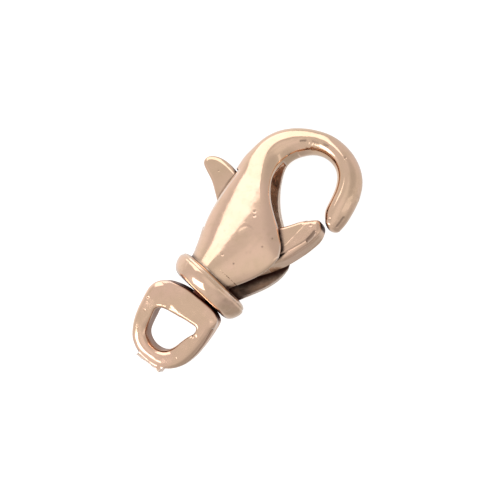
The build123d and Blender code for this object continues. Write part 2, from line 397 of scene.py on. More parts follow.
def horn_field(X, Y):
    s = np.concatenate([[0], np.cumsum(np.hypot(*np.diff(SECTIONS[:, :2], axis=0).T))])
    dense = spline(SECTIONS * [1, 1, 1, 1, 0.02], step=0.01)
    cx, cy, a, b, h = dense[:, 0], dense[:, 1], dense[:, 2], dense[:, 3], np.radians(dense[:, 4] * 50)
    N = len(cx)
    x, y = X.ravel(), Y.ravel()
    pick = np.arange(0, N, max(1, N // 260))
    S = np.empty(len(x))
    for i in range(0, len(x), 20000):
        dx = x[i : i + 20000, None] - cx[pick]
        dy = y[i : i + 20000, None] - cy[pick]
        t = dx * np.cos(h[pick]) + dy * np.sin(h[pick])
        u = -dx * np.sin(h[pick]) + dy * np.cos(h[pick])
        S[i : i + 20000] = pick[(np.abs(u) / a[pick] + 5 * np.abs(t)).argmin(1)]
    ar = np.arange(N)

    def at(S):
        S = np.clip(S, 0, N - 1)
        q = [np.interp(S, ar, v) for v in (cx, cy, a, b, h)]
        dx, dy = x - q[0], y - q[1]
        return dx * np.cos(q[4]) + dy * np.sin(q[4]), -dx * np.sin(q[4]) + dy * np.cos(q[4]), q[2], q[3]

    for _ in range(8):
        t0 = at(S)[0]
        slope = (at(S + 4)[0] - at(S - 4)[0]) / 8.0
        slope = np.where(np.abs(slope) < 1e-4, -1e-4, slope)
        S = np.clip(S - np.clip(t0 / slope, -40, 40), 0, N - 1)
    t, u, aa, bb = at(S)
    U = u / aa
    end = S > N - 1.5
    W = np.where(end, np.maximum(t, 0) / CAP, 0.0)
    bad = (~end) & (np.abs(t) > 0.03) & (S > 2)
    U = np.where(bad | (W > 3), 4.0 * np.sign(U + 1e-9), np.clip(U, -4, 4))
    return U.reshape(X.shape), aa.reshape(X.shape), bb.reshape(X.shape), np.clip(W, 0, 3).reshape(X.shape)


LO, HI = (-1.2, -5.0), (15.6, 5.8)
f_horn = Field(LO, HI, 0.07, horn_field)
f_body = Field(LO, HI, 0.07, lambda X, Y: (signed(RIM, X, Y), signed(HOLLOW, X, Y), signed(MOUTH, X, Y)))
f_collar = Field((-1.0, -0.4), (1.4, 3.6), 0.03, lambda X, R: signed(COLLAR, X, R))

# pits, rough patches and marks that the casting kept
BODY_PITS = [
    ((6.02, -1.84, 1.85), 0.10, 0.05), ((5.05, -1.80, 2.11), 0.09, 0.045), ((2.56, -0.04, 2.46), 0.10, 0.05),
    ((2.63, -1.14, 2.34), 0.09, 0.04), ((6.59, 0.60, 2.18), 0.10, 0.05), ((6.36, 0.37, 2.21), 0.10, 0.05),
    ((10.02, -3.72, 0.93), 0.13, 0.09), ((14.29, -1.30, 1.10), 0.11, 0.06), ((13.20, 3.20, -0.10), 0.12, 0.06),
    ((12.55, 3.60, 0.15), 0.09, 0.04), ((13.45, 1.15, 1.20), 0.11, 0.07), ((13.15, 1.75, 1.22), 0.10, 0.06),
    ((3.9, -3.0, -2.2), 0.09, 0.04), ((8.3, 1.9, -1.9), 0.09, 0.04), ((5.2, 2.6, -2.0), 0.11, 0.05),
]
BODY_ROUGH = [
    ((13.35, 1.60, 1.15), 0.85, 0.016, 0.26, 3), ((12.9, 3.3, 0.3), 0.75, 0.028, 0.28, 5), ((0.25, -3.0, 1.0), 0.95, 0.040, 0.36, 7),
    ((10.3, -4.0, 0.8), 0.60, 0.020, 0.34, 9), ((0.0, 1.4, 2.8), 0.80, 0.030, 0.42, 11), ((12.8, -3.9, 0.3), 0.8, 0.030, 0.30, 13),
    ((0.2, -1.2, -2.9), 1.1, 0.045, 0.36, 15), ((13.7, 1.9, -0.9), 0.9, 0.035, 0.28, 17),
]
BODY_SLITS = [
    ([(10.02, -4.46, 0.52), (10.45, -4.44, 0.56), (10.82, -4.38, 0.58)], 0.160, 0.075),
    ([(12.95, 2.28, 1.18), (13.25, 1.98, 1.18)], 0.045, 0.055), ([(13.55, 1.55, 1.18), (13.72, 1.18, 1.18)], 0.050, 0.050),
    ([(13.95, 0.72, 1.17), (14.05, 0.40, 1.17)], 0.045, 0.055), ([(12.55, 3.45, 0.62), (12.90, 3.20, 0.62)], 0.045, 0.055),
    ([(13.15, 3.02, 0.55), (13.50, 2.62, 0.55)], 0.040, 0.050),
]
CROWN_LINE = [(10.6, 3.30, 1.42), (11.6, 3.25, 1.36), (12.56, 2.75, 1.27), (13.35, 2.10, 1.21), (13.85, 1.45, 1.19), (14.10, 0.60, 1.17)]
BELLY_LINES = [
    [(3.0, -1.0, 2.36), (4.2, -1.30, 2.24), (5.3, -1.15, 2.20), (6.0, -1.55, 1.95)],
    [(6.75, 0.30, 2.05), (7.40, 1.30, 1.95), (8.2, 2.20, 1.80), (9.3, 2.9, 1.65)],
]


def body(P):
    x, y, z = P[:, 0], P[:, 1], P[:, 2]
    U, A, B, W = f_horn(x, y)
    q = np.sqrt(U * U + (z / B) ** 2 + W * W) + 1e-6
    g = np.sqrt((U / A) ** 2 + (z / B**2) ** 2 + (W / CAP) ** 2) / q
    d = (q - 1) / np.maximum(g, 0.12)
    d = np.maximum(d, 0.85 - x)
    far = np.clip(0.5 - 0.5 * z, 0, 1)
    rim = f_body(x, y + 0.13 * far, 0)
    hol, mou = f_body(x, y, 1), f_body(x, y, 2)
    # the hollow narrows to a rounded end behind the hook
    taper = np.clip((x - 9.1) / 1.85, 0, 1)
    wall = 1.10 - 0.66 * taper * taper * (3 - 2 * taper)
    tip = (x < 11.0) & (y < -2.0) & (x > 8.95)
    if tip.any():
        cut = (x - 9.75) * -0.853 + (y + 3.28) * 0.522
        cut = np.where(tip, cut, -9.0)
        d = smax(d, cut, 0.30)
    d = smax(d, -rim, 0.22)
    az = np.abs(z)
    d = smax(d, -smax(hol, az - wall, 0.12), 0.16)
    d = smax(d, -np.maximum(mou, az - 1.28), 0.16)
    m = (taper > 0) & (taper < 1) & (az < 1.3) & (np.abs(hol) < 0.5)
    if m.any():
        fade = np.clip(taper[m] * 3, 0, 1) * np.clip((1 - taper[m]) * 4, 0, 1) * np.clip((0.12 - hol[m]) / 0.12, 0, 1) * np.clip((wall[m] + 0.10 - az[m]) / 0.10, 0, 1)
        d[m] += 0.030 * (1 + noise3(P[m] * [0.35, 0.35, 1.0], 0.15, 75)) * fade
    r = np.hypot(y, z)
    m = x < 1.6
    if m.any():
        c = np.full(len(x), 9.0)
        c[m] = f_collar(x[m], r[m])
        c = np.where(r > 3.5, np.maximum(c, r - 3.2), c)
        d = np.where(m, smin(d, c, 0.10), d)
        bore = np.maximum(r - 0.69, x - 1.3)
        seat = np.maximum(np.maximum(r - 1.38, x - 1.70), 0.97 - x)
        d = np.where(m, np.maximum(d, -np.minimum(bore, seat)), d)
        # a turned groove parts the collar's lip from its band, and the band isn't quite round
        d = np.where(m, d + 0.055 * np.exp(-(((x - 0.60) / 0.065) ** 2)) * (r > 2.6), d)
        d = np.where(m, d + 0.022 * (1.0 + noise3(P, 1.3, 21)) * np.clip((r - 2.3) / 0.3, 0, 1), d)
    rp = np.hypot(x - PIVOT[0], y - PIVOT[1])
    hole = np.maximum(rp - 0.61, az - 1.9)
    d = np.maximum(d, -hole)
    # the rivet's filed head: a low swell with a faint ring about it
    d = d + np.where(az > 1.9, 0.003 * np.exp(-(((rp - 0.62) / 0.13) ** 2)) - 0.015 * np.exp(-((rp / 0.60) ** 2)), 0)
    m = (z > 0.8) & (x > 9.9) & (y > -0.2)
    if m.any():
        s, _ = near_line(P[m], CROWN_LINE)
        d[m] += 0.028 * np.exp(-((s / 0.11) ** 2)) * (0.6 + 0.4 * noise3(P[m], 0.5, 31))
    m = (z > 1.2) & (x > 2.5) & (x < 9.8)
    if m.any():
        for k, line in enumerate(BELLY_LINES):
            s, _ = near_line(P[m], line)
            d[m] += 0.010 * np.exp(-((s / 0.22) ** 2)) * (0.5 + 0.5 * noise3(P[m], 0.9, 41 + k))
    for c, rad, dep in BODY_PITS:
        m = np.abs(P - np.array(c)).max(1) < 3 * rad
        if m.any():
            d[m] += 0.55 * dep * bump(P[m], c, 0.85 * rad)
    for c, rad, amp, sc, seed in BODY_ROUGH:
        m = np.abs(P - np.array(c)).max(1) < 2.4 * rad
        if m.any():
            d[m] += amp * bump(P[m], c, rad) * (1.0 + noise3(P[m], sc, seed))
    m = (z > 0) & (x > 9.8)
    if m.any():
        for line, dep, wid in BODY_SLITS:
            s, _ = near_line(P[m], line)
            d[m] += dep * np.exp(-((s / wid) ** 2))
    return d


# ---------------------------------------------------------------------------
# gate lever
# ---------------------------------------------------------------------------
LEVER = spline([
    (2.10, -1.38), (3.00, -1.92), (4.00, -2.52), (5.00, -3.05), (5.75, -3.36), (6.70, -3.63), (7.70, -3.82),
    (8.45, -3.87), (9.02, -3.72), (9.38, -3.42), (9.46, -3.08), (9.18, -2.68), (8.54, -2.18), (7.88, -1.78),
    (7.18, -1.32), (6.66, -0.70), (6.48, 0.20), (6.64, 1.20), (7.12, 2.30), (7.66, 3.40), (7.98, 4.50),
    (8.08, 5.52), (7.96, 6.32), (7.68, 6.90), (7.28, 7.20), (6.86, 7.14), (6.60, 6.74), (6.40, 6.15),
    (6.16, 5.53), (5.79, 4.85), (5.32, 4.05), (4.72, 3.16), (3.85, 2.15), (3.02, 1.32), (2.36, 0.52),
    (1.98, -0.32), (1.92, -0.98)], closed=True, step=0.09)
LEVER_POCKET = [(1.2, -0.70), (4.88, -1.37), (4.88, 0.90), (4.5, 3.6), (1.2, 3.6)]
LEVER_GROOVES = [
    ([(5.20, -2.70, 0.97), (6.20, -3.06, 0.97), (7.20, -3.40, 0.96), (7.70, -3.52, 0.94)], 0.120, 0.070),
    ([(7.76, -3.60, 0.86), (8.12, -3.61, 0.88), (8.54, -3.58, 0.90)], 0.32, 0.095),
    ([(5.40, -3.24, 0.66), (6.60, -3.66, 0.60), (7.60, -3.86, 0.50), (8.50, -3.90, 0.40)], 0.110, 0.075),
]
LEVER_PITS = [((7.1, 5.6, 0.95), 0.07, 0.012), ((8.75, -2.95, 0.93), 0.10, 0.05), ((6.3, -2.0, 0.95), 0.11, 0.05)]
f_lever = Field((1.4, -4.5), (10.0, 7.7), 0.06, lambda X, Y: signed(LEVER, X, Y))
f_pocket = Field((1.4, -2.5), (7.4, 4.0), 0.06, lambda X, Y: signed(LEVER_POCKET, X, Y))


def lever(P):
    x, y, z = P[:, 0], P[:, 1], P[:, 2]
    d2 = f_lever(x, y)
    az = np.abs(z)
    r = 0.26 + 0.15 * np.clip((y - 3.6) / 1.6, 0, 1) + 0.16 * np.clip((x - 8.3) / 0.7, 0, 1) * (y < 0) + 0.08 * np.clip((x - 5.2) / 0.8, 0, 1) * (y < -2.4)
    dz = az - 0.95
    d = np.minimum(np.maximum(d2 + r, dz + r), 0) + np.hypot(np.maximum(d2 + r, 0), np.maximum(dz + r, 0)) - r
    d = np.maximum(d, 0.66 - np.hypot(x - PIVOT[0], y - PIVOT[1]))
    pocket = np.minimum(f_pocket(x, y), np.hypot(x - PIVOT[0], y - PIVOT[1]) - 1.17)
    d = np.maximum(d, -np.maximum(pocket, az - 0.52))
    M = np.stack([x, y, az], 1)
    m = (x > 4.6) & (y < -1.9)
    if m.any():
        Pm = M[m]
        e = d[m]
        for line, dep, wid in LEVER_GROOVES:
            s, _ = near_line(Pm, line)
            e = e + dep * np.exp(-((s / wid) ** 2))
        d[m] = e + 0.012 * noise3(P[m], 0.55, 51)
    m = y > 4.0
    if m.any():
        d[m] += 0.010 * noise3(P[m], 0.8, 53)
    for c, rad, dep in LEVER_PITS:
        m = np.abs(P - np.array(c)).max(1) < 3 * rad
        if m.any():
            d[m] += dep * bump(P[m], c, rad)
    return d


# ---------------------------------------------------------------------------
# swivel loop
# ---------------------------------------------------------------------------
LOOP_OUT = spline([
    (-0.95, 0.00), (-1.03, 0.95), (-1.34, 2.00), (-1.80, 2.86), (-2.38, 3.24), (-3.00, 3.30),
    (-3.80, 3.14), (-5.00, 2.80), (-5.97, 2.32), (-6.74, 1.66), (-7.12, 0.90), (-7.18, 0.08),
    (-7.10, -0.70), (-6.88, -1.45), (-6.38, -2.07), (-5.66, -2.50), (-4.80, -2.73), (-3.80, -2.79),
    (-2.75, -2.72), (-1.85, -2.60), (-1.24, -2.30), (-0.98, -1.72), (-0.93, -0.90)], closed=True)
LOOP_IN = spline([
    (-2.93, 0.00), (-3.10, 0.80), (-3.30, 1.42), (-3.66, 1.78), (-4.22, 1.70), (-4.95, 1.46), (-5.52, 1.16),
    (-5.86, 0.60), (-5.92, -0.08), (-5.68, -0.70), (-5.08, -1.14), (-4.28, -1.36), (-3.45, -1.55),
    (-2.90, -1.66), (-2.66, -1.52), (-2.67, -1.15), (-2.78, -0.60)], closed=True)
LOOP_X = np.array([0.96254, -0.05891, 0.26468])
LOOP_N = np.array([-0.27116, -0.20912, 0.93954])
LOOP_Y = np.cross(LOOP_N, LOOP_X)
LOOP_O = LOOP_N * 0.28 + LOOP_X * 0.02
LOOP_CREASE = [(-1.62, -2.22, 0.58), (-2.10, -2.54, 0.54), (-3.10, -2.70, 0.46), (-4.13, -2.76, 0.42), (-5.35, -2.56, 0.40), (-6.10, -2.22, 0.36)]
LOOP_PITS = [((-4.35, 2.35, 0.95), 0.09, 0.035), ((-3.45, 2.75, 0.92), 0.09, 0.03), ((-5.4, -1.9, 0.96), 0.08, 0.025)]
f_loop = Field((-8.2, -3.4), (-0.2, 4.0), 0.05, lambda X, Y: (signed(LOOP_OUT, X, Y), signed(LOOP_IN, X, Y)))


def loop(P):
    Q = P - LOOP_O
    x, y, w = Q @ LOOP_X, Q @ LOOP_Y, Q @ LOOP_N
    do, di = f_loop(x, y)
    # the bar's near edge leans towards the collar
    lean = np.clip(0.26 - 0.05 * y, 0.12, 0.34) * np.clip((w + 0.1) / 1.1, 0, 1) * np.clip((x + 2.2) / 0.9, 0, 1)
    do = np.where(x > -2.3, f_loop(x - lean, y, 0), do)
    # what is left of the sprue: a stub nipped off at the bow, with a torn edge
    stub = np.maximum(np.abs(y + 0.50) - 1.10 - 0.04 * noise3(P, 0.5, 61), (-7.30 - x - 0.09 * (y + 0.50)) * 0.98 + 0.12 * (w - 0.2) + 0.03 * noise3(P, 0.30, 63) + 0.035 * np.cos((y + 0.5) * 2.8))
    d2 = smax(do, -di, 0.2)
    k = np.clip((do + di) / 1.0 + 0.5, 0, 1)
    bow = np.clip((-4.4 - x) / 1.0, 0, 1)
    k = k * k * (3 - 2 * k)
    r = (0.30 + 0.34 * bow) * (1 - k) + (0.64 - 0.46 * np.clip((x + 1.9) / 0.6, 0, 1)) * k
    dz = np.abs(w) - 1.0 + 0.05 * np.clip((x + 3.55) / 0.12, 0, 1) * (y > 1.6) * np.clip((y - 1.6) / 0.5, 0, 1)
    d = np.minimum(np.maximum(d2 + r, dz + r), 0) + np.hypot(np.maximum(d2 + r, 0), np.maximum(dz + r, 0)) - r
    stub = np.maximum(np.maximum(stub, x + 6.3), np.abs(w - 0.12) - 0.66 - 0.05 * noise3(P, 0.35, 65))
    d = smin(d, stub, 0.18)
    top = w > 0.2
    m = top & (np.abs(x + 2.82) < 0.45) & (np.abs(y + 0.25) < 1.6)
    if m.any():
        e = np.exp(-(((x[m] + 2.84) / 0.20) ** 2)) * np.clip((1.5 - np.abs(y[m] + 0.25)) / 0.3, 0, 1)
        d[m] += 0.022 * e * noise3(P[m], 0.34, 67) + 0.040 * e
    m = top & (np.abs(x + 3.9) < 1.3) & (np.abs(y - 2.5) < 0.9)
    if m.any():
        e = bump(np.stack([x[m] + 3.9, (y[m] - 2.5) * 1.4], 1), (0, 0), 0.75)
        d[m] += 0.011 * e * (1 + noise3(P[m], 0.42, 69))
    ring_r = np.hypot(x + 3.2, y + 1.87)
    d = d + np.where(top, 0.022 * np.exp(-(((ring_r - 0.16) / 0.07) ** 2)), 0)
    m = (w > -0.2) & (y < -0.9)
    if m.any():
        s, _ = near_line(np.stack([x[m], y[m], w[m]], 1), LOOP_CREASE)
        d[m] += 0.150 * np.exp(-((s / 0.105) ** 2))
    for c, rad, dep in LOOP_PITS:
        q = np.stack([x, y, w], 1) - np.array(c)
        m = np.abs(q).max(1) < 3 * rad
        if m.any():
            d[m] += dep * np.exp(-1.2 * (q[m] ** 2).sum(1) / rad**2)
    d = d + 0.024 * noise3(P, 1.1, 71) + 0.005 * noise3(P, 0.38, 73)
    rr = np.hypot(P[:, 1], P[:, 2])
    post = np.maximum(np.maximum(rr - 0.62, P[:, 0] - 1.2), -1.5 - P[:, 0])
    hr = 1.2 - (P[:, 0] - 0.98) * math.tan(math.radians(20))
    head = np.maximum(np.maximum(rr - hr, P[:, 0] - 1.43), 0.98 - P[:, 0])
    return np.minimum(smin(d, post, 0.12), head)


# ---------------------------------------------------------------------------
# what the materials read off the shape: how deep a point sits in a crease, which they darken as painted shade, and
# how rough the casting is there, where the inside walls are also painted paler as painted light
# ---------------------------------------------------------------------------
def box_gap(P, lo, hi):
    """distance of points to a box, so that a field is not read past its grid"""
    return np.linalg.norm(np.maximum(np.maximum(np.array(lo) - P, P - np.array(hi)), 0), axis=1)


def everything(P):
    """distance to the nearest of the castings, with the gate closed"""
    a = np.maximum(body(P), box_gap(P, (-0.75, -4.9, -3.21), (15.1, 5.4, 3.21)))
    b = np.maximum(lever(P), box_gap(P, (1.9, -3.9, -0.95), (9.5, 7.3, 0.95)))
    c = np.maximum(loop(P), box_gap(P, (-7.9, -3.2, -3.4), (1.45, 3.6, 1.6)))
    return np.minimum(np.minimum(a, b), c)


def crease(P, N):
    """0 on open surface, towards 1 in corners, slots and where the parts close up; the materials darken these places
    as painted shade
    """
    out = np.zeros(len(P))
    for r, w in ((0.12, 0.26), (0.30, 0.26), (0.65, 0.22), (1.20, 0.16), (2.00, 0.32)):
        out += w * np.clip((r - everything(P + N * r)) / r, 0, 1)
    return np.clip(out, 0, 1)


def edges(F, P, N):
    """0 on flat or gently curved surface, towards 1 on sharp outer edges"""
    return np.clip((0.17 + F(P - N * 0.17)) / 0.17 * 1.5 - 0.12, 0, 1)


def attribute(ob, name, values):
    a = ob.data.attributes.new(name, "FLOAT", "POINT")
    a.data.foreach_set("value", np.asarray(values, np.float32))


def specks(P, pits, slits=()):
    out = np.zeros(len(P))
    for c, rad, dep in pits:
        out = np.maximum(out, np.exp(-1.6 * ((P - np.array(c)) ** 2).sum(1) / (0.75 * rad) ** 2))
    for line, dep, wid in slits:
        out = np.maximum(out, np.exp(-((near_line(P, line)[0] / (1.3 * wid)) ** 2)))
    return out


def casting(name, F, lo, hi, h, rough=None, pits=(), slits=()):
    P, Q, N = surface(F, lo, hi, h)
    ob = mesh_object(name, P, Q, N)
    marks_and_painted_shade = specks(P, pits, slits)
    if name == "swivel_casting":
        Q3 = P - LOOP_O
        x, y, w = Q3 @ LOOP_X, Q3 @ LOOP_Y, Q3 @ LOOP_N
        # painted shade: the loop's inner wall is darkened below its near face, and a dark line is painted along the
        # crease groove on its outer side
        wall = np.clip(1 - f_loop(x, y, 1) / 0.22, 0, 1) * np.clip((0.80 - w) / 0.25, 0, 1) * np.clip((-2.9 - x) / 0.5, 0, 1)
        marks_and_painted_shade = np.maximum(marks_and_painted_shade, 0.80 * wall)
        line = near_line(np.stack([x, y, w], 1), LOOP_CREASE)[0]
        marks_and_painted_shade = np.maximum(marks_and_painted_shade, 0.85 * np.exp(-((line / 0.12) ** 2)))
    cr = crease(P, N)
    if name == "claw_casting":
        # painted shade in the corner where the collar meets the body, broken up by noise
        ringr = np.hypot(P[:, 1], P[:, 2])
        marks_and_painted_shade = np.maximum(marks_and_painted_shade, 0.9 * np.exp(-(((P[:, 0] - 0.95) / 0.075) ** 2)) * np.clip((2.74 - ringr) / 0.08, 0, 1) * (ringr > 2.2) * (0.75 + 0.25 * noise3(P, 0.6, 91)))
        # a faint dark arc painted on the rivet head's upper side: painted shade at its edge
        px, py = P[:, 0] - PIVOT[0], P[:, 1] - PIVOT[1]
        pr = np.hypot(px, py)
        marks_and_painted_shade = np.maximum(marks_and_painted_shade, 0.38 * np.exp(-(((pr - 0.66) / 0.07) ** 2)) * np.clip((px * 0.62 + py * 0.78) / (pr + 1e-6) * 1.8 - 0.7, 0, 1) * (P[:, 2] > 1.8))
        # the painted crease shade is weakened inside the slot towards the hook
        inside = (np.abs(P[:, 2]) < 1.25) & (P[:, 1] > -0.6)
        cr = cr * (1 - 0.72 * inside * np.clip((P[:, 0] - 6.4) / 2.2, 0, 1))
    attribute(ob, "crease", cr)
    attribute(ob, "pit_marks_and_painted_shade", marks_and_painted_shade)
    attribute(ob, "edge", edges(F, P, N))
    attribute(ob, "cast_rough_and_painted_light", np.clip(rough(P), 0, 1) if rough else np.zeros(len(P)))
    return ob


def body_rough_and_painted_light(P):
    out = np.zeros(len(P))
    for c, rad, amp, sc, seed in BODY_ROUGH:
        out = np.maximum(out, 0.42 * bump(P, c, rad))
    t = np.clip((P[:, 0] - 9.1) / 1.85, 0, 1)
    az = np.abs(P[:, 2])
    # the slot's inside walls: rougher, and painted paler as painted light
    inside = (f_body(P[:, 0], P[:, 1], 1) < 0.10) & (az < 1.15 - 0.66 * t * t * (3 - 2 * t)) & (P[:, 0] < 10.85)
    inside = inside | ((f_body(P[:, 0], P[:, 1], 2) < 0.10) & (az < 1.31) & (P[:, 0] < 6.3))
    return np.maximum(out, 0.8 * inside)


def lever_rough_and_painted_light(P):
    # the hub inside the body is painted paler as painted light; the arm's rough band stays below the colour threshold
    return 0.35 * np.clip((P[:, 0] - 5.0) / 2.0, 0, 1) * (P[:, 1] < -2.6) + 0.8 * (P[:, 0] < 4.2)


def loop_rough(P):
    Q = P - LOOP_O
    x, y, w = Q @ LOOP_X, Q @ LOOP_Y, Q @ LOOP_N
    out = bump(np.stack([x + 3.9, y - 2.5], 1), (0, 0), 0.9)
    out = np.maximum(out, np.exp(-(((x + 2.85) / 0.25) ** 2)) * (np.abs(y + 0.25) < 1.6) * (w > 0))
    out = np.maximum(out, np.clip((-7.05 - x) / 0.3, 0, 1) * (np.abs(y + 0.4) < 1.4))
    return np.maximum(0.40 * out, 0.12)


claw = casting("claw_casting", body, (-1.0, -4.7, -3.4), (15.5, 5.5, 3.4), 0.0745, body_rough_and_painted_light, BODY_PITS, BODY_SLITS)
gate = casting("gate_casting", lever, (1.6, -4.2, -1.2), (9.8, 7.4, 1.2), 0.05, lever_rough_and_painted_light, LEVER_PITS, [(LEVER_GROOVES[1][0], 0, 0.12), (LEVER_GROOVES[0][0], 0, 0.06)])
ring = casting("swivel_casting", loop, (-7.9, -3.1, -3.2), (1.7, 3.8, 1.7), 0.05, loop_rough, [(tuple(LOOP_O + c[0] * LOOP_X + c[1] * LOOP_Y + c[2] * LOOP_N), r, e) for c, r, e in LOOP_PITS])
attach(claw, "claw")
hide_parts("claw_body")
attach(gate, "lever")
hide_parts("gate_lever")
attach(ring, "loop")
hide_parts("swivel_loop")


# ---------------------------------------------------------------------------
# rivet and torsion spring
# ---------------------------------------------------------------------------
def turned(name, profile, origin, sides=72):
    """a turned piece: profile of (radius, height) along Z about origin, poles at both ends"""
    pts, quads, tris = [], [], []
    prof = np.array(profile, float)
    rings = [i for i, p in enumerate(prof) if p[0] > 1e-6]
    a = np.linspace(0, 2 * math.pi, sides, endpoint=False)
    for i in rings:
        pts.append(np.stack([prof[i, 0] * np.cos(a), prof[i, 0] * np.sin(a), np.full(sides, prof[i, 1])], 1))
    P = np.concatenate(pts)
    for k in range(len(rings) - 1):
        for j in range(sides):
            j2 = (j + 1) % sides
            quads.append((k * sides + j, k * sides + j2, (k + 1) * sides + j2, (k + 1) * sides + j))
    n = len(P)
    P = np.vstack([P, [0, 0, prof[0, 1]], [0, 0, prof[-1, 1]]]) + np.asarray(origin, float)
    top = (len(rings) - 1) * sides
    for j in range(sides):
        j2 = (j + 1) % sides
        tris.append((n, j2, j))
        tris.append((n + 1, top + j, top + j2))
    me = bpy.data.meshes.new(name)
    me.from_pydata([tuple(v) for v in to_row(P)], [], quads + tris)
    me.polygons.foreach_set("use_smooth", np.ones(len(me.polygons), bool))
    me.update()
    ob = bpy.data.objects.new(name, me)
    bpy.context.scene.collection.objects.link(ob)
    return ob


def tube(name, path, radius, sides=20, dome=4):
    """round wire along a path of points, with domed ends"""
    path = np.asarray(path, float)
    T = np.gradient(path, axis=0)
    T /= np.linalg.norm(T, axis=1, keepdims=True)
    U = np.zeros_like(T)
    u = np.cross(T[0], [0.3, 0.2, 0.9])
    for i in range(len(path)):
        u = u - T[i] * (u @ T[i])
        u /= np.linalg.norm(u)
        U[i] = u
    V = np.cross(T, U)
    a = np.linspace(0, 2 * math.pi, sides, endpoint=False)
    rings = []
    for k in range(dome, 0, -1):
        t = k / (dome + 0.4) * math.pi / 2
        rings.append((path[0] - T[0] * radius * math.sin(t) * 0.6, U[0], V[0], radius * math.cos(t)))
    for i in range(len(path)):
        rings.append((path[i], U[i], V[i], radius))
    for k in range(1, dome + 1):
        t = k / (dome + 0.4) * math.pi / 2
        rings.append((path[-1] + T[-1] * radius * math.sin(t) * 0.6, U[-1], V[-1], radius * math.cos(t)))
    P = np.concatenate([c + r * (np.cos(a)[:, None] * u + np.sin(a)[:, None] * v) for c, u, v, r in rings])
    m = len(rings)
    faces = []
    for k in range(m - 1):
        for j in range(sides):
            j2 = (j + 1) % sides
            faces.append((k * sides + j, k * sides + j2, (k + 1) * sides + j2, (k + 1) * sides + j))
    n = len(P)
    P = np.vstack([P, path[0] - T[0] * radius * 0.6, path[-1] + T[-1] * radius * 0.6])
    for j in range(sides):
        j2 = (j + 1) % sides
        faces.append((n, j2, j))
        faces.append((n + 1, (m - 1) * sides + j, (m - 1) * sides + j2))
    me = bpy.data.meshes.new(name)
    me.from_pydata([tuple(v) for v in to_row(P)], [], faces)
    me.polygons.foreach_set("use_smooth", np.ones(len(me.polygons), bool))
    me.update()
    ob = bpy.data.objects.new(name, me)
    bpy.context.scene.collection.objects.link(ob)
    return ob


PX, PY = PIVOT[0], PIVOT[1]
rivet = turned("rivet_shank", [(0, -1.86), (0.50, -1.86), (0.56, -1.82), (0.595, -1.74), (0.60, -1.60), (0.60, -1.0),
                               (0.597, -0.5), (0.597, 0.5), (0.60, 1.0), (0.60, 1.60), (0.595, 1.74), (0.56, 1.82),
                               (0.50, 1.86), (0, 1.86)], (PX, PY, 0))
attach(rivet, "claw")
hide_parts("pivot_pin")

COIL_R, WIRE, TURNS, PITCH = 0.88, 0.11, 3 + 30 / 360, 0.24
ch = TURNS * PITCH
a0 = math.radians(220)
ang = np.linspace(0, TURNS * 2 * math.pi, 240)
coil = np.stack([PX + COIL_R * np.cos(a0 + ang), PY + COIL_R * np.sin(a0 + ang), -ch / 2 + PITCH * ang / (2 * math.pi)], 1)
t0 = np.array([math.sin(a0), -math.cos(a0), 0])
a1 = a0 + ang[-1]
t1 = np.array([-math.sin(a1), math.cos(a1), 0])
leg0 = coil[0] + t0 * np.linspace(3.40, 0.06, 46)[:, None]
leg1 = coil[-1] + t1 * np.linspace(0.06, 2.20, 30)[:, None]
wire = tube("torsion_spring", np.vstack([leg0, coil, leg1]), WIRE)
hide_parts("gate_spring")
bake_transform(wire)


# ---------------------------------------------------------------------------
# materials
# ---------------------------------------------------------------------------
class Nodes:
    """small helper for building a node tree"""

    def __init__(self, tree):
        self.t = tree
        tree.nodes.clear()

    def add(self, kind, **props):
        n = self.t.nodes.new(kind)
        for k, v in props.items():
            setattr(n, k, v)
        return n

    def put(self, n, key, v):
        s = n.inputs[key]
        if isinstance(v, bpy.types.NodeSocket):
            self.t.links.new(v, s)
        else:
            s.default_value = v
        return n

    def math(self, op, a, b=0.0, c=0.0, clamp=False):
        n = self.add("ShaderNodeMath", operation=op, use_clamp=clamp)
        self.put(n, 0, a)
        self.put(n, 1, b)
        if op in ("MULTIPLY_ADD",):
            self.put(n, 2, c)
        return n.outputs[0]

    def ramp(self, v, lo, hi, a=0.0, b=1.0, smooth=True):
        n = self.add("ShaderNodeMapRange", interpolation_type="SMOOTHSTEP" if smooth else "LINEAR")
        for k, x in (("Value", v), ("From Min", lo), ("From Max", hi), ("To Min", a), ("To Max", b)):
            self.put(n, k, x)
        return n.outputs[0]

    def mix(self, f, a, b):
        n = self.add("ShaderNodeMix", data_type="RGBA")
        self.put(n, 0, f)
        self.put(n, 6, a)
        self.put(n, 7, b)
        return n.outputs[2]

    def noise(self, vec, scale, detail=2.0, rough=0.5, distortion=0.0):
        n = self.add("ShaderNodeTexNoise")
        self.put(n, "Vector", vec)
        self.put(n, "Scale", scale)
        self.put(n, "Detail", detail)
        self.put(n, "Roughness", rough)
        self.put(n, "Distortion", distortion)
        return n.outputs[0]

    def mapping(self, vec, scale=(1, 1, 1), rot=(0, 0, 0), loc=(0, 0, 0)):
        n = self.add("ShaderNodeMapping")
        self.put(n, "Vector", vec)
        self.put(n, "Scale", scale)
        self.put(n, "Rotation", rot)
        self.put(n, "Location", loc)
        return n.outputs[0]


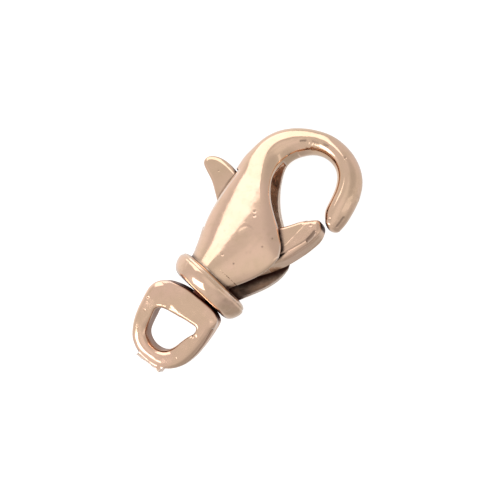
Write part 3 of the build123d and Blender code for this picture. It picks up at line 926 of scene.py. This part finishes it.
def rose_plate(name, tint, deep, shift, rough=0.10, grain=1.0):
    """rose-gold plate over a polished casting: soft polishing waves, fine scratches, pits, painted shade with some
    tarnish darkening the creases
    """
    m = bpy.data.materials.new(name)
    m.use_nodes = True
    g = Nodes(m.node_tree)
    out = g.add("ShaderNodeOutputMaterial")
    b = g.add("ShaderNodeBsdfPrincipled")
    g.t.links.new(b.outputs[0], out.inputs[0])
    tc = g.add("ShaderNodeTexCoord")
    mm = g.mapping(tc.outputs["Object"], (1000, 1000, 1000), (0, 0, 0), shift)
    crs = g.add("ShaderNodeAttribute", attribute_name="crease").outputs["Fac"]
    rough_and_painted_light = g.add("ShaderNodeAttribute", attribute_name="cast_rough_and_painted_light").outputs["Fac"]
    marks_and_painted_shade = g.add("ShaderNodeAttribute", attribute_name="pit_marks_and_painted_shade").outputs["Fac"]
    edg = g.add("ShaderNodeAttribute", attribute_name="edge").outputs["Fac"]
    # plate colour drifts a little over the part, and darkens in the creases as painted shade with some tarnish
    drift = g.noise(mm, 0.33, 3.0, 0.55)
    col = g.mix(g.ramp(drift, 0.35, 0.68), [tint[0] * 1.02, tint[1] * 0.985, tint[2] * 1.0, 1], [tint[0] * 0.94, tint[1] * 0.945, tint[2] * 0.90, 1])
    blot = g.noise(mm, 1.1, 3.0, 0.6)
    col = g.mix(g.ramp(blot, 0.50, 0.72, 0.0, 0.55), col, [tint[0] * 0.90, tint[1] * 0.90, tint[2] * 0.84, 1])
    spots = g.noise(mm, 2.6, 4.0, 0.62)
    # painted shade: the creases darken towards the deep colour, broken up by noise spots, joined by the pit marks and
    # painted dark lines of the speck attribute
    tarnish_marks_and_shade = g.math("MULTIPLY", g.ramp(crs, 0.17, 0.64), g.ramp(spots, 0.25, 0.70, 0.72, 1.0))
    tarnish_marks_and_shade = g.math("MAXIMUM", tarnish_marks_and_shade, marks_and_painted_shade)
    # unpolished walls are duller than the polished outside, and are painted paler as painted light against their
    # shade
    col = g.mix(g.ramp(rough_and_painted_light, 0.45, 0.80, 0.0, 0.85), col, [0.91, 0.735, 0.610, 1])
    worn = g.math("MULTIPLY", g.ramp(edg, 0.10, 0.60), g.ramp(spots, 0.30, 0.60, 0.45, 0.75))
    col = g.mix(worn, col, [0.99, 0.86, 0.76, 1])
    col = g.mix(tarnish_marks_and_shade, col, deep)
    # deeper painted shade in the deepest creases and on the strongest marks
    col = g.mix(g.ramp(g.math("MAXIMUM", crs, g.ramp(marks_and_painted_shade, 0.60, 1.0)), 0.52, 0.92), col, [deep[0] * 0.78, deep[1] * 0.46, deep[2] * 0.42, 1])
    film = g.math("MULTIPLY", g.ramp(spots, 0.56, 0.74), 0.16)
    col = g.mix(film, col, [tint[0] * 0.72, tint[1] * 0.66, tint[2] * 0.62, 1])
    g.put(b, "Base Color", col)
    b.inputs["Metallic"].default_value = 1.0
    # roughness
    haze = g.noise(mm, 1.3, 3.0, 0.6)
    r = g.ramp(haze, 0.35, 0.70, rough * 0.80, rough * 1.45)
    r = g.math("ADD", r, g.math("MULTIPLY", tarnish_marks_and_shade, 0.30))
    r = g.math("ADD", r, g.math("MULTIPLY", worn, 0.12))
    r = g.math("ADD", r, g.math("MULTIPLY", rough_and_painted_light, 0.22), clamp=True)
    g.put(b, "Roughness", r)
    # relief: polishing waves, scratches both ways, casting grain, pits
    waves = g.noise(mm, 0.55, 2.0, 0.45)
    s1 = g.noise(g.mapping(mm, (1.2, 26, 26), (0.2, 0.5, 0.7)), 1.0, 2.0, 0.6)
    s2 = g.noise(g.mapping(mm, (30, 1.6, 30), (0.9, -0.3, 0.4)), 1.0, 2.0, 0.6)
    scr = g.math("ADD", g.ramp(s1, 0.62, 0.80), g.ramp(s2, 0.64, 0.80))
    fine = g.noise(mm, 7.0, 3.0, 0.6)
    coarse = g.noise(mm, 2.6, 3.0, 0.6)
    vor = g.add("ShaderNodeTexVoronoi", feature="F1")
    g.put(vor, "Vector", mm)
    g.put(vor, "Scale", 1.5)
    pit = g.math("MULTIPLY", g.ramp(vor.outputs["Distance"], 0.05, 0.16, 1.0, 0.0), g.ramp(spots, 0.50, 0.60))
    hgt = g.math("MULTIPLY", waves, 15.0 * grain)
    hgt = g.math("ADD", hgt, g.math("MULTIPLY", g.noise(mm, 1.5, 2.0, 0.5), 5.0 * grain))
    hgt = g.math("ADD", hgt, g.math("MULTIPLY", scr, -0.22))
    hgt = g.math("ADD", hgt, g.math("MULTIPLY", fine, 0.60 * grain))
    hgt = g.math("ADD", hgt, g.math("MULTIPLY", pit, -1.4))
    rougher = g.math("ADD", g.math("MULTIPLY", coarse, 26.0), g.math("MULTIPLY", fine, 7.0))
    hgt = g.math("ADD", hgt, g.math("MULTIPLY", rougher, rough_and_painted_light))
    bp = g.add("ShaderNodeBump")
    bp.inputs["Strength"].default_value = 1.0
    bp.inputs["Distance"].default_value = 1e-6
    g.put(bp, "Height", hgt)
    g.t.links.new(bp.outputs[0], b.inputs["Normal"])
    return m


def bare_steel(name, tint, shift):
    """drawn spring wire or rivet stock: fine drawing lines, oily film"""
    m = bpy.data.materials.new(name)
    m.use_nodes = True
    g = Nodes(m.node_tree)
    out = g.add("ShaderNodeOutputMaterial")
    b = g.add("ShaderNodeBsdfPrincipled")
    g.t.links.new(b.outputs[0], out.inputs[0])
    tc = g.add("ShaderNodeTexCoord")
    mm = g.mapping(tc.outputs["Object"], (1000, 1000, 1000), (0, 0, 0), shift)
    film = g.noise(mm, 3.0, 3.0, 0.6)
    col = g.mix(g.ramp(film, 0.38, 0.70), tint, [tint[0] * 0.70, tint[1] * 0.66, tint[2] * 0.60, 1])
    g.put(b, "Base Color", col)
    b.inputs["Metallic"].default_value = 1.0
    g.put(b, "Roughness", g.ramp(g.noise(mm, 5.0, 2.0), 0.3, 0.7, 0.20, 0.38))
    lines = g.noise(g.mapping(mm, (34, 34, 4)), 1.0, 2.0, 0.6)
    bp = g.add("ShaderNodeBump")
    bp.inputs["Strength"].default_value = 0.6
    bp.inputs["Distance"].default_value = 1e-6
    g.put(bp, "Height", lines)
    g.t.links.new(bp.outputs[0], b.inputs["Normal"])
    return m


GOLD = [0.885, 0.625, 0.462, 1]
# DEEP: the colour that the creases darken to, painted shade with some tarnish
DEEP = [0.160, 0.108, 0.082, 1]
body_mat = rose_plate("rose_gold_body", GOLD, DEEP, (0, 0, 0))
gate_mat = rose_plate("rose_gold_gate", [0.875, 0.615, 0.452, 1], DEEP, (31, 7, 3), rough=0.11)
loop_mat = rose_plate("rose_gold_loop", [0.925, 0.640, 0.475, 1], [0.245, 0.118, 0.082, 1], (5, 41, 13), rough=0.12, grain=1.3)
pin_mat = bare_steel("rivet_stock", [0.80, 0.55, 0.40, 1], (3, 5, 9))
steel_mat = bare_steel("spring_wire", [0.62, 0.61, 0.60, 1], (13, 2, 1))
for o, mt in ((claw, body_mat), (gate, gate_mat), (ring, loop_mat), (rivet, pin_mat), (wire, steel_mat)):
    o.data.materials.clear()
    o.data.materials.append(mt)
# the CAD nodes that the pieces stand for carry the same finishes
for node, mt in (("claw_body", body_mat), ("gate_lever", gate_mat), ("swivel_loop", loop_mat), ("pivot_pin", pin_mat), ("gate_spring", steel_mat)):
    o = bpy.data.objects.get(node)
    if o is not None and o.type == "MESH":
        o.data.materials.clear()
        o.data.materials.append(mt)

# ---------------------------------------------------------------------------
# camera
# ---------------------------------------------------------------------------
CAM_D = np.array([-0.03664, -0.38243, 0.92326])
CAM_R = np.array([0.68789, -0.67981, -0.25428])
CAM_U = np.array([0.72489, 0.62578, 0.28798])
d, rgt, up = ROT @ CAM_D, ROT @ CAM_R, ROT @ CAM_U
target = to_row(3.227 * CAM_R + 2.879 * CAM_U)
DIST = 0.30
FIELD = 0.03788
cam = bpy.data.cameras.new("camera")
cam.sensor_width = 36
cam.lens = 36 * DIST / FIELD
cam.clip_start = 0.01
cam.clip_end = 10
cam_ob = bpy.data.objects.new("camera", cam)
bpy.context.scene.collection.objects.link(cam_ob)
loc = target + d * DIST
M = Matrix.Identity(4)
for i in range(3):
    M[i][0], M[i][1], M[i][2], M[i][3] = rgt[i], up[i], d[i], loc[i]
cam_ob.matrix_world = M
bpy.context.scene.camera = cam_ob
bpy.context.scene.view_settings.view_transform = "Standard"

# ---------------------------------------------------------------------------
# floor, studio world and softboxes
# ---------------------------------------------------------------------------
centre = np.array([list(cad_box[0]), list(cad_box[1])]).mean(0)
me = bpy.data.meshes.new("floor")
s = 1.6
me.from_pydata([(-s, -s, -0.00002), (s, -s, -0.00002), (s, s, -0.00002), (-s, s, -0.00002)], [], [(0, 1, 2, 3)])
floor = bpy.data.objects.new("floor", me)
bpy.context.scene.collection.objects.link(floor)
fm = bpy.data.materials.new("white_table")
fm.use_nodes = True
g = Nodes(fm.node_tree)
out = g.add("ShaderNodeOutputMaterial")
b = g.add("ShaderNodeBsdfPrincipled")
g.t.links.new(b.outputs[0], out.inputs[0])
b.inputs["Base Color"].default_value = (0.38, 0.38, 0.38, 1)
b.inputs["Roughness"].default_value = 0.9
b.inputs["Emission Color"].default_value = (1, 1, 1, 1)
b.inputs["Emission Strength"].default_value = 0.88
me.materials.append(fm)


def direction(az, el):
    a, e = math.radians(az), math.radians(el)
    return np.array([math.cos(e) * math.cos(a), math.cos(e) * math.sin(a), math.sin(e)])


def softbox(name, az, el, dist, wide, high, level, tint=(1, 1, 1), turn=0.0):
    """rectangular light facing the object; wide and high are the angles that it fills, in degrees"""
    w = 2 * dist * math.tan(math.radians(wide / 2))
    t = 2 * dist * math.tan(math.radians(high / 2))
    L = bpy.data.lights.new(name, "AREA")
    L.shape = "RECTANGLE"
    L.size, L.size_y = w, t
    L.energy = level * w * t * math.pi
    L.color = tint
    o = bpy.data.objects.new(name, L)
    bpy.context.scene.collection.objects.link(o)
    d = Vector(direction(az, el))
    q = (-d).to_track_quat("-Z", "Y")
    o.matrix_world = Matrix.Translation(Vector(centre) + d * dist) @ q.to_matrix().to_4x4() @ Matrix.Rotation(math.radians(turn), 4, "Z")
    return o


softbox("key_window", 58, 24, 0.80, 52, 60, 0.98)
softbox("side_strip", -62, 14, 0.60, 12, 52, 0.22)
softbox("small_lamp", 165, 39, 0.60, 34, 25, 2.3, turn=35.0)
floor.visible_glossy = False

world = bpy.data.worlds.new("studio")
bpy.context.scene.world = world
world.use_nodes = True
g = Nodes(world.node_tree)
out = g.add("ShaderNodeOutputWorld")
bg = g.add("ShaderNodeBackground")
g.t.links.new(bg.outputs[0], out.inputs[0])
tc = g.add("ShaderNodeTexCoord")
level = None
for az, el, inner, outer, amount in (
    (-20, 22, 8, 40, -0.13), (-114, -30, 20, 54, -0.24), (92, -26, 16, 48, 0.24),
    (160, 22, 10, 36, 0.16), (-60, 74, 8, 32, 0.13), (-100, 20, 10, 34, -0.08),
):
    n = g.add("ShaderNodeVectorMath", operation="DOT_PRODUCT")
    g.put(n, 0, tc.outputs["Generated"])
    n.inputs[1].default_value = tuple(direction(az, el))
    v = g.ramp(n.outputs["Value"], math.cos(math.radians(outer)), math.cos(math.radians(inner)), 0.0, amount)
    level = g.math("ADD", level if level is not None else 0.69, v)
col = g.add("ShaderNodeVectorMath", operation="SCALE")
col.inputs[0].default_value = (1.0, 0.99, 0.985)
g.put(col, "Scale", level)
g.put(bg, "Color", col.outputs[0])
bg.inputs["Strength"].default_value = 1.0
